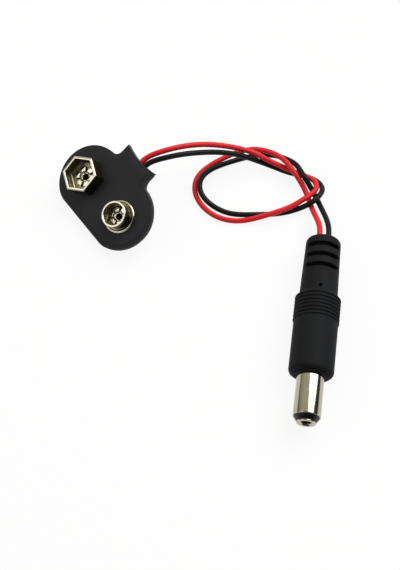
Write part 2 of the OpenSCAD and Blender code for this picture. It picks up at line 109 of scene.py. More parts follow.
def add_node(
    tree: Tree,
    kind: str,
    values: dict[Any, Any] | None = None,
    links: dict[Any, Socket] | None = None,
    **settings: Any,
) -> bpy.types.Node:
    """Adds a node to a tree.

    Args:
        tree: The node tree.
        kind: Blender's name of the node type.
        values: Constants for the node's own input sockets, by name or index.
        links: Output sockets that feed input sockets, by name or index.
        **settings: Properties of the node itself.

    Returns:
        The new node.
    """
    node = tree.nodes.new(kind)
    for name, value in settings.items():
        setattr(node, name, value)
    for name, value in (values or {}).items():
        node.inputs[name].default_value = value
    for name, socket in (links or {}).items():
        tree.links.new(socket, node.inputs[name])
    return node


def set_stops(node: bpy.types.Node, stops: Sequence[tuple[float, str]]) -> None:
    """Gives a colour ramp its stops.

    Args:
        node: The colour ramp.
        stops: Pairs of position and hex colour.
    """
    ramp = node.color_ramp
    while len(ramp.elements) < len(stops):
        ramp.elements.new(1.0)
    for element, (position, colour) in zip(ramp.elements, stops):
        element.position = position
        element.color = linear(colour)


@dataclass(frozen=True)
class Finish:
    """A finish: a principled surface with a mottled colour, uneven gloss and a fine relief.

    Attributes:
        name: Name of the material.
        base: Main colour.
        shade: Colour of the mottling.
        mottle: Size of the mottling in millimetres.
        roughness: Lowest and highest roughness.
        grain: Size of the relief in millimetres.
        depth: Height of the relief in millimetres.
        metallic: 1 for a metal.
        specular: Specular level.
        detail: Octaves of the relief.
    """

    name: str
    base: str
    shade: str
    mottle: float
    roughness: tuple[float, float]
    grain: float
    depth: float
    metallic: float = 0.0
    specular: float = 0.5
    detail: float = 3.0

    def place(self, tree: Tree) -> Socket:
        """Coordinates that the patterns follow."""
        return add_node(tree, "ShaderNodeTexCoord").outputs["Object"]

    @cache
    def material(self) -> bpy.types.Material:
        """Builds the material once and returns it.

        Returns:
            The material, shared by every piece of this finish.
        """
        made = bpy.data.materials.new(self.name)
        made.use_nodes = True
        tree = made.node_tree
        tree.nodes.clear()
        place = self.place(tree)
        mottle = add_node(
            tree,
            "ShaderNodeTexNoise",
            {"Scale": per_mm(self.mottle), "Detail": MOTTLE_OCTAVES, "Roughness": MOTTLE_ROUGHNESS},
            {"Vector": place},
        )
        colour = add_node(tree, "ShaderNodeValToRGB", links={"Fac": mottle.outputs["Fac"]})
        set_stops(colour, [(NOISE_LOW, self.shade), (NOISE_HIGH, self.base)])
        gloss = add_node(
            tree,
            "ShaderNodeMapRange",
            {
                "From Min": NOISE_LOW,
                "From Max": NOISE_HIGH,
                "To Min": self.roughness[0],
                "To Max": self.roughness[1],
            },
            {"Value": mottle.outputs["Fac"]},
        )
        relief = self.relief(tree, place)
        bump = add_node(
            tree, "ShaderNodeBump", {"Strength": 1.0, "Distance": self.depth * MM}, {"Height": relief}
        )
        shader = add_node(
            tree,
            "ShaderNodeBsdfPrincipled",
            {"Metallic": self.metallic, "Specular IOR Level": self.specular},
            {
                "Base Color": colour.outputs["Color"],
                "Roughness": gloss.outputs["Result"],
                "Normal": bump.outputs["Normal"],
            },
        )
        add_node(tree, "ShaderNodeOutputMaterial", links={"Surface": shader.outputs["BSDF"]})
        return made

    def relief(self, tree: Tree, place: Socket) -> Socket:
        """Height of the relief, plain noise of the grain's size.

        Args:
            tree: The material's node tree.
            place: Coordinates that the relief follows.

        Returns:
            The socket of the height.
        """
        noise = add_node(
            tree,
            "ShaderNodeTexNoise",
            {"Scale": per_mm(self.grain), "Detail": self.detail, "Roughness": GRAIN_ROUGHNESS},
            {"Vector": place},
        )
        return noise.outputs["Fac"]


@dataclass(frozen=True)
class PebbledFinish(Finish):
    """A finish whose relief is an embossed leather grain, as calendered sheet has."""

    def relief(self, tree: Tree, place: Socket) -> Socket:
        """Height of the relief: rounded cells of the grain's size.

        Args:
            tree: The material's node tree.
            place: Coordinates that the relief follows.

        Returns:
            The socket of the height.
        """
        cells = add_node(
            tree,
            "ShaderNodeTexVoronoi",
            {"Scale": per_mm(self.grain), "Smoothness": CELL_SMOOTHNESS},
            {"Vector": place},
            feature="SMOOTH_F1",
        )
        return cells.outputs["Distance"]


@dataclass(frozen=True)
class DrawnFinish(Finish):
    """A finish that follows a lead: its relief and mottling are streaks along the length."""

    stretch: float = 12.0

    def place(self, tree: Tree) -> Socket:
        """Coordinates round and along the lead, with the length shortened to make streaks.

        Args:
            tree: The material's node tree.

        Returns:
            The socket of the coordinates.
        """
        lay = add_node(tree, "ShaderNodeAttribute", attribute_name="lay", attribute_type="GEOMETRY")
        mapped = add_node(
            tree,
            "ShaderNodeMapping",
            {"Scale": (1 / self.stretch, 1.0, 1.0)},
            {"Vector": lay.outputs["Vector"]},
        )
        return mapped.outputs["Vector"]


# Calendered soft PVC sheet, heat-sealed at its rim: nearly black with a blue cast, satin, fine grain.
VINYL = PebbledFinish("calendered_vinyl", "#252529", "#212125", 5.0, (0.44, 0.54), 0.45, 0.008, specular=0.22)
# Bright nickel plate on drawn brass: warm mirror, with the faint waviness that drawing leaves.
NICKEL = Finish("bright_nickel", "#dedacb", "#d4cfbd", 1.6, (0.09, 0.15), 1.2, 0.002, metallic=1.0)
# Nickel plate on the turned sleeve and contact: the same metal, a little greyer and softer.
TURNED_NICKEL = Finish("turned_nickel", "#b9b5a3", "#b0ac99", 1.6, (0.11, 0.17), 1.2, 0.002, metallic=1.0)
# Nickel deep inside the drawn cups, rougher and darkened to olive: painted shade of the hollows.
SHADED_INSIDE_NICKEL = Finish("nickel_painted_shade_inside", "#a39c80", "#938c72", 1.4, (0.30, 0.38), 1.2, 0.002, metallic=1.0)
# Nickel outside the contacts, darker and browner: painted shade and a painted dark reflection of the cover.
SHADED_OUTSIDE_NICKEL = Finish("nickel_painted_shade_outside", "#857d63", "#787057", 1.4, (0.18, 0.24), 1.2, 0.002, metallic=1.0)
# Hot-dipped tin on brass tags: pale grey, dull, slightly lumpy.
TINNED = Finish("hot_dipped_tin", "#c4c5c6", "#aeb0b0", 0.8, (0.28, 0.42), 0.5, 0.008, metallic=1.0)
# Frozen tin-lead solder: grey metal with a soft crystalline bloom.
SOLDER = Finish("soft_solder", "#b6b8ba", "#96999c", 0.4, (0.25, 0.5), 0.25, 0.01, metallic=1.0)
# Hard paper board: brown resin-bonded fibre, matt with a fibrous mottle.
FIBRE = Finish("hard_paper", "#7a5a3a", "#5d432b", 0.6, (0.6, 0.8), 0.2, 0.01)
# Extruded PVC insulation, red: saturated, waxy gloss, faint streaks along the lead.
RED_PVC = DrawnFinish("red_pvc", "#e32b31", "#dd272c", 1.2, (0.36, 0.44), 0.35, 0.001, specular=0.2)
# Extruded PVC insulation, black: the same surface in carbon black.
BLACK_PVC = DrawnFinish("black_pvc", "#1e1e1f", "#1b1b1c", 1.2, (0.36, 0.44), 0.35, 0.001, specular=0.12)
# Overmoulded PVC of the plug: charcoal, matt from a spark-eroded mould, its grain drawn coarser to show.
PLUG_PVC = Finish("moulded_pvc", "#202123", "#1d1e20", 3.0, (0.55, 0.65), 0.22, 0.008, specular=0.06)
# Moulded nylon of the nose: jet black with a soft gloss.
NYLON = Finish("moulded_nylon", "#0b0b0c", "#090909", 2.0, (0.32, 0.40), 0.3, 0.004, specular=0.4)


def grid_faces(rows: int, columns: int, wrap: bool) -> Array:
    """Quads between neighbouring points of a grid.

    Args:
        rows: Rows of points.
        columns: Points in a row.
        wrap: Whether the last column joins the first.

    Returns:
        Four point indices for each quad.
    """
    index = np.arange(rows * columns).reshape(rows, columns)
    if wrap:
        index = np.concatenate([index, index[:, :1]], axis=1)
    corners = (index[:-1, :-1], index[:-1, 1:], index[1:, 1:], index[1:, :-1])
    return np.stack(corners, axis=-1).reshape(-1, 4)


def unit(vectors: Array) -> Array:
    """The vectors, each divided by its length."""
    return vectors / np.linalg.norm(vectors, axis=-1, keepdims=True)


def rounded(corners: Sequence[tuple[float, float, float]], steps: int = 6) -> Array:
    """An open line through corners, each inner corner replaced by a tangent arc.

    The arc's centre lies on the corner's bisector at radius / sin(half angle), and the arc starts
    radius / tan(half angle) before the corner.

    Args:
        corners: Points of the line, each with the radius of its arc; 0 keeps it sharp.
        steps: Points on each arc.

    Returns:
        Points of the rounded line.
    """
    rows = np.array(corners, float)
    line = rows[:, :2]
    radius = rows[1:-1, 2]
    back = unit(line[:-2] - line[1:-1])
    ahead = unit(line[2:] - line[1:-1])
    half = np.arccos(np.clip((back * ahead).sum(axis=1), -1, 1)) / 2
    middle = back + ahead
    middle /= np.maximum(np.linalg.norm(middle, axis=1), 1e-9)[:, None]
    centre = line[1:-1] + middle * (radius / np.sin(half))[:, None]
    start = line[1:-1] + back * (radius / np.tan(half))[:, None] - centre
    turn = (math.pi - 2 * half) * np.sign(ahead[:, 0] * back[:, 1] - ahead[:, 1] * back[:, 0])
    angle = np.arctan2(start[:, 1], start[:, 0])[:, None] + turn[:, None] * np.linspace(0, 1, steps)
    ring = np.stack([np.cos(angle), np.sin(angle)], axis=-1) * radius[:, None, None]
    arcs = (centre[:, None] + ring).reshape(-1, 2)
    return np.concatenate([line[:1], arcs, line[-1:]])


def soft_step(depth: Array, width: float) -> Array:
    """1 inside an edge and 0 outside, with a straight ramp of that width across the edge."""
    return np.clip(depth / width + 0.5, 0, 1)


def revolved(profile: Array, sides: int) -> Array:
    """A profile of (radius, height) pairs turned about the height axis.

    Args:
        profile: Points of the profile.
        sides: Points on each circle.

    Returns:
        A grid of points, one row for each point of the profile.
    """
    angle = np.linspace(0, 2 * math.pi, sides, endpoint=False)
    radius = profile[:, :1]
    height = np.repeat(profile[:, 1:], sides, axis=1)
    return np.stack([radius * np.cos(angle), radius * np.sin(angle), height], axis=-1)


class Skin:
    """Patches of points and faces that are welded into one closed mesh."""

    def __init__(self) -> None:
        """Starts with no patches."""
        self.points: list[Array] = []
        self.faces: list[list[int]] = []
        self.count = 0

    def patch(self, points: Array, faces: Array) -> None:
        """Adds points and the faces between them.

        Args:
            points: Points of the patch, in millimetres.
            faces: Point indices of each face, counted within the patch.
        """
        self.points.append(points.reshape(-1, 3))
        self.faces.extend((np.asarray(faces) + self.count).tolist())
        self.count += len(self.points[-1])

    def grid(self, points: Array, wrap: bool = True) -> None:
        """Adds a grid of points, with its quads."""
        self.patch(points, grid_faces(points.shape[0], points.shape[1], wrap))

    def mesh(self, name: str, crease: float = 40.0, weld: bool = True) -> bpy.types.Mesh:
        """Makes the mesh, smooth except where faces meet at more than the crease angle.

        Args:
            name: Name of the mesh.
            crease: Angle in degrees above which an edge is sharp.
            weld: Whether coincident points are merged and the normals worked out again.

        Returns:
            The mesh, in metres.
        """
        made = bpy.data.meshes.new(name)
        made.from_pydata((np.concatenate(self.points) * MM).tolist(), [], self.faces)
        if weld:
            work = bmesh.new()
            work.from_mesh(made)
            bmesh.ops.remove_doubles(work, verts=work.verts, dist=WELD)
            bmesh.ops.dissolve_degenerate(work, edges=work.edges, dist=WELD)
            bmesh.ops.recalc_face_normals(work, faces=work.faces)
            work.to_mesh(made)
            work.free()
        made.polygons.foreach_set("use_smooth", np.ones(len(made.polygons), bool))
        made.set_sharp_from_angle(angle=math.radians(crease))
        return made


def show(mesh: bpy.types.Mesh, finish: Finish, slot: Slot, *nodes: str) -> bpy.types.Object:
    """Puts a mesh into the scene as a piece of the object.

    Args:
        mesh: The mesh, with its place in its points.
        finish: The finish it gets.
        slot: The record's slot for that finish; not used.
        *nodes: CAD nodes that it stands for.

    Returns:
        The piece.
    """
    piece = bpy.data.objects.new(mesh.name, mesh)
    bpy.context.collection.objects.link(piece)
    mesh.materials.append(finish.material())
    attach(piece, BODY)
    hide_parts(*nodes)
    LOG.info("%s: %d faces, stands for %s", piece.name, len(mesh.polygons), ", ".join(nodes))
    return piece


def dress(node: str, finish: Finish) -> None:
    """Gives a CAD node that stays in view its finish.

    Args:
        node: Name of the node.
        finish: The finish it gets.
    """
    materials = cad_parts[node].data.materials
    materials.clear()
    materials.append(finish.material())
    LOG.info("%s: CAD node in %s", node, finish.name)


@dataclass
class BatterySnap:
    """The snap: a soft cover with a welded rim, a hexagonal socket and a round stud on rivets.

    Its own frame runs from socket to stud (u), to the lead tab (v) and out of the face (w), and starts
    midway between the terminals on the raised face.
    """

    heading: float = 45.0
    tilt: float = 29.0
    origin: tuple[float, float, float] = (-0.4, -0.4, 5.6925)
    pitch: float = 12.7
    lobe_r: float = 7.75
    lobe_spread: float = 11.2
    lobe_lift: float = 0.2
    straight_edge: float = 7.3
    corner_r: float = 5.0
    tab_w: float = 9.4
    tab_reach: float = 11.7
    tab_dip: float = 0.6
    scallop_r: float = 1.65
    cover_t: float = 0.6
    rim_w: float = 0.7
    rim_drop: float = 0.2
    edge_round: float = 0.22
    step_inset: float = 1.25
    step_w: float = 0.9
    seam_bevel: float = 0.06
    contact_t: float = 0.4
    hole_r: float = 1.15
    socket_rim_af: float = 7.5
    socket_foot_af: float = 7.6
    socket_mouth_af: float = 6.3
    socket_h: float = 3.4
    socket_turn: float = 36.0
    socket_corner_r: float = 0.55
    socket_corner_least: float = 0.16
    socket_floor_edge: float = 0.9
    socket_floor_blend: float = 1.2
    socket_foot_round: float = 0.12
    socket_rim_round: float = 0.32
    socket_fold_round: float = 0.1
    socket_floor_round: float = 0.6
    socket_angles: tuple[float, ...] = (0, 0.7, 1.4, 2.1, 2.9, 3.8, 5.2, 8, 13, 19, 25)
    socket_bright: float = 0.12
    stud_rim_d: float = 5.7
    stud_waist_d: float = 5.1
    stud_flange_d: float = 7.2
    stud_h: float = 3.1
    stud_bead: float = 0.05
    stud_land_round: float = 0.25
    stud_rim_round: float = 0.12
    stud_mouth_round: float = 0.1
    stud_step_round: float = 0.2
    stud_floor_round: float = 0.3
    stud_bright: float = 0.4
    waist_share: float = 0.45
    waist_foot: float = 0.06
    waist_foot_round: float = 0.08
    waist_round: float = 0.9
    waist_inner_round: float = 0.8
    flange_h: float = 0.6
    flange_lip: float = 0.5
    flange_slope: float = 0.08
    flange_round: float = 0.28
    flange_lip_round: float = 0.14
    flange_foot_round: float = 0.05
    flange_bright: float = 0.3
    wall_lean: float = 0.3
    rivet_r: float = 1.1
    rivet_wall: float = 0.3
    rivet_head_r: float = 2.1
    rivet_head_t: float = 0.3
    head_under: float = -2.0
    head_round: float = 0.12
    head_top_round: float = 0.1
    petal_curl_r: float = 0.45
    petal_count: int = 6
    petal_slit: float = 16.0
    petal_bend: float = 0.3
    petal_sink: float = 0.1
    petal_tip: float = 0.1
    petal_gap: float = 0.05
    petal_bend_round: float = 0.25
    petal_tip_round: float = 0.2
    petal_edge_power: float = 0.35
    petal_face_power: float = 0.5
    petal_closing: float = 0.1
    petal_thinning: float = 0.35
    petal_uneven: tuple[float, ...] = (1.0, 1.06, 0.96, 1.04, 0.98, 1.02)
    petal_turns: dict[int, float] = field(default_factory=lambda: {-1: 11.0, 1: 8.0})
    petal_reach: dict[int, float] = field(default_factory=lambda: {-1: 1.55, 1: 1.22})
    lead_w: float = -1.525
    insulation_v: float = 6.0

    def axes(self) -> Array:
        """Unit vectors of u, v and w: u level, v climbing by the tilt, and w square to both.

        Returns:
            The three vectors, as rows.
        """
        heading, tilt = math.radians(self.heading), math.radians(self.tilt)
        across = np.array([math.sin(heading), -math.cos(heading), 0.0])
        level = np.array([math.cos(heading), math.sin(heading), 0.0])
        along = level * math.cos(tilt) + np.array([0.0, 0.0, math.sin(tilt)])
        return np.stack([across, along, np.cross(across, along)])

    def place(self, points: Array) -> Array:
        """Turns points of the snap's frame into points of the shared frame."""
        return np.array(self.origin) + points @ self.axes()

    def half_outline(self, inset: Array) -> Array:
        """Right half of the outline, drawn in by an inset.

        It runs along the straight edge, round a soft corner and the lobe's arc, into the scallop's
        hollow arc where the two circles touch, up the tab's side and along the hollow arc of its end.
        The inset shortens the outward radii and lengthens those of the hollow arcs.

        Args:
            inset: One inset for each row wanted.

        Returns:
            A grid of (u, v) points, one row for each inset.
        """
        inset = np.asarray(inset, float)[:, None]
        lobe_u = self.lobe_spread / 2
        hollow_u = self.tab_w / 2 + self.scallop_r
        touch = self.lobe_r + self.scallop_r
        hollow_v = self.lobe_lift + math.sqrt(touch**2 - (hollow_u - lobe_u) ** 2)
        meet = math.atan2(hollow_v - self.lobe_lift, hollow_u - lobe_u)
        end_r = (self.tab_w**2 / 4 + self.tab_dip**2) / (2 * self.tab_dip)
        end_v = self.tab_reach - self.tab_dip + end_r
        corner_v = self.corner_r - self.straight_edge
        corner_u = lobe_u + math.sqrt((self.lobe_r - self.corner_r) ** 2 - (self.lobe_lift - corner_v) ** 2)
        turn = math.atan2(corner_v - self.lobe_lift, corner_u - lobe_u)
        edge_u = corner_u * np.linspace(0, 1, 9)[:-1] + 0 * inset
        edge_v = inset - self.straight_edge + 0 * edge_u
        corner_a = np.linspace(-math.pi / 2, turn, 12)[:-1]
        corner_r = self.corner_r - inset
        corner_at = (corner_u + corner_r * np.cos(corner_a), corner_v + corner_r * np.sin(corner_a))
        lobe_a = np.linspace(turn, meet, 64)[:-1]
        lobe_r = self.lobe_r - inset
        lobe_at = (lobe_u + lobe_r * np.cos(lobe_a), self.lobe_lift + lobe_r * np.sin(lobe_a))
        hollow_a = np.linspace(meet + math.pi, math.pi, 24)[:-1]
        hollow_r = self.scallop_r + inset
        hollow_at = (hollow_u + hollow_r * np.cos(hollow_a), hollow_v + hollow_r * np.sin(hollow_a))
        side_u = self.tab_w / 2 - inset
        tip_v = end_v - np.sqrt((end_r + inset) ** 2 - side_u**2)
        side_t = np.linspace(0, 1, 7)[:-1]
        side_at = (side_u + 0 * side_t, hollow_v + (tip_v - hollow_v) * side_t)
        end_u = side_u * np.linspace(1, 0, 14)
        end_at = (end_u, end_v - np.sqrt((end_r + inset) ** 2 - end_u**2))
        parts = [(edge_u, edge_v), corner_at, lobe_at, hollow_at, side_at, end_at]
        return np.concatenate([np.stack(part, axis=-1) for part in parts], axis=1)

    def outline(self, inset: Array) -> Array:
        """Whole outline for each inset: the right half and its mirror image."""
        right = self.half_outline(inset)
        left = right[:, -2:0:-1] * (-1, 1)
        return np.concatenate([right, left], axis=1)

    def hole(self, side: int, sides: int = 48) -> Array:
        """Circle of the rivet's hole at one terminal.

        Args:
            side: -1 at the socket, 1 at the stud.
            sides: Points on the circle.

        Returns:
            The (u, v) points.
        """
        angle = np.linspace(0, 2 * math.pi, sides, endpoint=False)
        middle = np.array([side * self.pitch / 2, 0.0])
        return middle + self.hole_r * np.stack([np.cos(angle), np.sin(angle)], axis=-1)

    def fill(self, skin: Skin, ring: Array, holes: Sequence[Array], level: float) -> None:
        """Fills a ring with triangles at one level, leaving holes out.

        Args:
            skin: The skin that gets the triangles.
            ring: Closed line of (u, v) points.
            holes: Closed lines of the holes.
            level: Height of the fill.
        """
        loops = [ring, *holes]
        points = np.concatenate(loops)
        starts = np.cumsum([0] + [len(loop) for loop in loops])
        following = [np.roll(np.arange(a, b), -1) for a, b in zip(starts[:-1], starts[1:])]
        edges = np.column_stack([np.arange(len(points)), np.concatenate(following)]).tolist()
        corners = [Vector(point) for point in points.tolist()]
        flat, _, faces, *_ = delaunay_2d_cdt(corners, edges, [], WITHIN_LINES, LINE_TOLERANCE)
        flat, faces = np.array(flat), np.array(faces)
        middle = flat[faces].mean(axis=1)
        for hole in holes:
            outside = np.linalg.norm(middle - hole.mean(axis=0), axis=1) > self.hole_r
            middle, faces = middle[outside], faces[outside]
        skin.patch(np.column_stack([flat, np.full(len(flat), level)]), faces)

    def ring_rows(self, rows: Sequence[tuple[float, float]]) -> Array:
        """Outlines at several insets and levels.

        Args:
            rows: Inset and level of each outline.

        Returns:
            A grid of points in the snap's frame, one row for each outline.
        """
        inset, level = np.array(rows).T
        flat = self.outline(inset)
        height = np.broadcast_to(level[:, None, None], (*flat.shape[:2], 1))
        return np.concatenate([flat, height], axis=-1)

    def face_sheet(self) -> bpy.types.Object:
        """Upper sheet: a raised face, a soft step down to the rim, a rounded edge and a hollow underside.

        The step falls as 3 t squared less 2 t cubed, and the edge is a quarter circle.

        Returns:
            The piece.
        """
        seam = -self.rim_drop - self.cover_t
        step = np.linspace(0, 1, 9)
        arc = np.linspace(0, math.pi / 2, 6)
        rows = [
            *zip(self.step_inset - self.step_w * step, -self.rim_drop * step**2 * (3 - 2 * step)),
            *zip(self.edge_round * (1 - np.sin(arc)), -self.rim_drop - self.edge_round * (1 - np.cos(arc))),
            (0.0, seam + self.seam_bevel),
            (self.seam_bevel, seam),
            (self.rim_w + self.cover_t, seam),
            (self.rim_w + self.cover_t, -self.cover_t),
        ]
        skin = Skin()
        grid = self.ring_rows(rows)
        skin.grid(grid)
        holes = [self.hole(side) for side in (-1, 1)]
        self.fill(skin, grid[0, :, :2], holes, 0.0)
        self.fill(skin, grid[-1, :, :2], holes, -self.cover_t)
        for hole in holes:
            levels = np.array([0.0, -self.cover_t])[:, None, None]
            wall = np.broadcast_to(hole, (2, *hole.shape))
            skin.grid(np.concatenate([wall, np.broadcast_to(levels, (2, len(hole), 1))], axis=-1))
        skin.points = [self.place(points) for points in skin.points]
        return show(skin.mesh("face_sheet", crease=30), VINYL, Slot.VINYL, "face_cover")

    def hexagon(self, rows: Array) -> Array:
        """Rounded hexagons, as a grid.

        On a flat the radius is apothem / cos(angle from the flat's middle). Near a corner it is that of
        the corner's circle, whose centre lies (apothem - corner radius) / cos 30 degrees out.

        Args:
            rows: Apothem, height, corner radius and roundness (0 hexagon, 1 circle) for each ring.

        Returns:
            A grid of points about the hexagon's own axis.
        """
        apothem, height, corner, roundness = (column[:, None] for column in rows.T)
        near_corner = np.radians(self.socket_angles)
        half_side = math.pi / 6
        sector = np.concatenate([-near_corner[:0:-1], near_corner, [half_side]])
        angle = (np.radians(self.socket_turn + 60 * np.arange(6))[:, None] + sector).ravel()
        off = np.abs(np.tile(sector, 6))
        out = (apothem - corner) / math.cos(half_side)
        bend = np.arctan2(corner / 2, out + corner * math.cos(half_side))
        flat = apothem / np.cos(half_side - off)
        curve = out * np.cos(off) + np.sqrt(np.maximum(corner**2 - (out * np.sin(off)) ** 2, 0))
        radius = np.where(off <= bend, curve, flat)
        radius = radius + roundness * (apothem - radius)
        return np.stack([radius * np.cos(angle), radius * np.sin(angle), height + 0 * radius], axis=-1)

    def socket_shell(self) -> bpy.types.Object:
        """Drawn hexagonal socket: leaning walls, a folded rim and a flat floor round the rivet.

        Returns:
            The piece.
        """
        foot, rim, mouth = self.socket_foot_af / 2, self.socket_rim_af / 2, self.socket_mouth_af / 2
        wall, fold = self.contact_t, self.socket_h - self.contact_t
        section = rounded(
            [
                (self.hole_r, 0, 0),
                (foot, 0, self.socket_foot_round),
                (rim, self.socket_h, self.socket_rim_round),
                (mouth, self.socket_h, self.socket_fold_round),
                (mouth, fold, self.socket_fold_round),
                (rim - wall, fold, self.socket_fold_round),
                (foot - wall, wall, self.socket_floor_round),
                (self.hole_r, wall, 0),
                (self.hole_r, 0, 0),
            ],
            steps=7,
        )
        apothem, height = section.T
        corner = np.maximum(self.socket_corner_r - (foot - apothem), self.socket_corner_least)
        roundness = np.clip((foot - self.socket_floor_edge - apothem) / self.socket_floor_blend, 0, 1)
        grid = self.hexagon(np.stack([apothem, height, corner, roundness], axis=-1))
        skin = Skin()
        skin.grid(self.place(grid + (-self.pitch / 2, 0, 0)))
        piece = show(skin.mesh("socket_shell"), NICKEL, Slot.NICKEL, "socket_cup")
        self.paint_shade(piece, -1, self.socket_h - self.socket_bright)
        return piece

    def paint_shade(self, piece: bpy.types.Object, side: int, top: float) -> None:
        """Paints shade on a contact as darker nickel inside and outside, but not on its rim and flange edge.

        A face is outside where its normal leans away from the contact's axis, or beyond the stud's waist.

        Args:
            piece: The contact.
            side: -1 at the socket, 1 at the stud.
            top: Height up to which shade is painted.
        """
        mesh = piece.data
        # Next slots: nickel darkened as painted shade, first inside, then outside the contact
        mesh.materials.append(SHADED_INSIDE_NICKEL.material())
        mesh.materials.append(SHADED_OUTSIDE_NICKEL.material())
        middle, normal = np.empty((2, 3 * len(mesh.polygons)))
        mesh.polygons.foreach_get("center", middle)
        mesh.polygons.foreach_get("normal", normal)
        local = (middle.reshape(-1, 3) / MM - np.array(self.origin)) @ self.axes().T
        local -= (side * self.pitch / 2, 0, 0)
        facing = normal.reshape(-1, 3) @ self.axes().T
        radius = np.hypot(local[:, 0], local[:, 1])
        stud = side > 0
        edge = stud & (radius > self.stud_flange_d / 2 - self.flange_bright)
        outward = (local[:, :2] * facing[:, :2]).sum(axis=1) / radius > self.wall_lean
        outside = outward | (stud & (radius > self.stud_waist_d / 2))
        # Slot 0 is the bright nickel, slot 1 painted shade inside the cup, slot 2 painted shade outside
        bright, inside_shade, outside_shade = range(3)
        finish = np.where((local[:, 2] < top) & ~edge, np.where(outside, outside_shade, inside_shade), bright)
        mesh.polygons.foreach_set("material_index", finish)

    def stud_shell(self) -> bpy.types.Object:
        """Drawn round stud: a flange with a rolled edge, a waisted neck and a rounded rim.

        Returns:
            The piece.
        """
        rim, waist, flange = self.stud_rim_d / 2, self.stud_waist_d / 2, self.stud_flange_d / 2
        wall, lip = self.contact_t, flange - self.flange_lip
        waist_h, land_h = self.stud_h * self.waist_share, self.stud_h - wall
        mouth = rim - wall - self.stud_bead
        section = rounded(
            [
                (self.hole_r, 0, 0),
                (flange, 0, self.flange_round),
                (flange, self.flange_h, self.flange_round),
                (lip, self.flange_h, self.flange_lip_round),
                (lip - self.flange_slope, wall, self.flange_foot_round),
                (waist + self.waist_foot, wall, self.waist_foot_round),
                (waist, waist_h, self.waist_round),
                (rim, land_h, self.stud_land_round),
                (rim, self.stud_h, self.stud_rim_round),
                (mouth, self.stud_h, self.stud_mouth_round),
                (mouth, land_h, self.stud_step_round),
                (waist - wall, waist_h, self.waist_inner_round),
                (waist - wall, wall, self.stud_floor_round),
                (self.hole_r, wall, 0),
                (self.hole_r, 0, 0),
            ],
            steps=7,
        )
        skin = Skin()
        skin.grid(self.place(revolved(section, sides=96) + (self.pitch / 2, 0, 0)))
        piece = show(skin.mesh("stud_shell"), NICKEL, Slot.NICKEL, "stud_cup")
        self.paint_shade(piece, 1, self.stud_h - self.stud_bright)
        return piece

    def petal(self, turn: float, reach: float) -> Array:
        """One clenched petal of a rivet: a flat strip bent outwards over the floor, its tip pressed down.

        Its section is a superellipse across the strip's line, which thins and closes towards the tip.

        Args:
            turn: Direction of the petal's middle in degrees.
            reach: Length of the petal, as a share of the usual one.

        Returns:
            A grid of points about the rivet's own axis.
        """
        root, floor = self.rivet_r - self.rivet_wall / 2, self.contact_t
        end = root + 2 * self.petal_curl_r * reach
        crest = floor + self.petal_curl_r
        line = rounded(
            [
                (root, floor - self.petal_sink, 0),
                (root + self.petal_bend, crest, self.petal_bend_round),
                (end - self.petal_tip, crest, self.petal_tip_round),
                (end, floor + self.petal_gap, 0),
            ],
            steps=9,
        )
        ahead = unit(np.gradient(line, axis=0))
        travel = np.linspace(0, 1, len(line))[:, None]
        loop = np.linspace(0, 2 * math.pi, 24, endpoint=False)
        side = np.sign(np.cos(loop)) * np.abs(np.cos(loop)) ** self.petal_edge_power
        thick = np.sign(np.sin(loop)) * np.abs(np.sin(loop)) ** self.petal_face_power
        past = np.clip((travel - 1 + self.petal_closing) / self.petal_closing, 0, 1)
        closing = np.sqrt(1 - past**2)
        width = np.radians((360 / self.petal_count - self.petal_slit) / 2) * closing
        half_wall = self.rivet_wall / 2 * (1 - self.petal_thinning * travel) * closing
        radius = line[:, :1] - ahead[:, 1:] * half_wall * thick
        height = line[:, 1:] + ahead[:, :1] * half_wall * thick
        angle = math.radians(turn) + width * side
        return np.stack([radius * np.cos(angle), radius * np.sin(angle), height], axis=-1)

    def clenched_rivet(self, name: str, side: int, node: str) -> bpy.types.Object:
        """Tubular rivet: a flat head below, a hollow shank and a star of clenched petals.

        Args:
            name: Name of the piece.
            side: -1 at the socket, 1 at the stud.
            node: CAD node that it stands for.

        Returns:
            The piece.
        """
        bore = self.rivet_r - self.rivet_wall
        head_top = self.head_under + self.rivet_head_t
        section = rounded(
            [
                (bore, self.head_under, 0),
                (self.rivet_head_r, self.head_under, self.head_round),
                (self.rivet_head_r, head_top, self.head_top_round),
                (self.rivet_r, head_top, 0),
                (self.rivet_r, self.contact_t, 0),
                (bore, self.contact_t, 0),
                (bore, self.head_under, 0),
            ]
        )
        middle = (side * self.pitch / 2, 0, 0)
        skin = Skin()
        skin.grid(self.place(revolved(section, sides=64) + middle))
        first = self.petal_turns[side] + (360 / self.petal_count - self.petal_slit) / 2
        for i, reach in enumerate(self.petal_uneven):
            turn = first + i * 360 / self.petal_count
            petal = self.place(self.petal(turn, reach * self.petal_reach[side]) + middle)
            skin.grid(petal)
            skin.patch(petal[0], np.arange(petal.shape[1])[None])
        return show(skin.mesh(name), NICKEL, Slot.NICKEL, node)

    def build(self) -> None:
        """Builds the snap and dresses what stays of its CAD nodes."""
        self.face_sheet()
        self.socket_shell()
        self.stud_shell()
        self.clenched_rivet("socket_clench", -1, "socket_rivet")
        self.clenched_rivet("stud_clench", 1, "stud_rivet")
        dress("back_cover", VINYL)
        dress("terminal_board", FIBRE)
        for node in ("socket_tag", "stud_tag"):
            dress(node, TINNED)
        for node in ("socket_solder", "stud_solder"):
            dress(node, SOLDER)


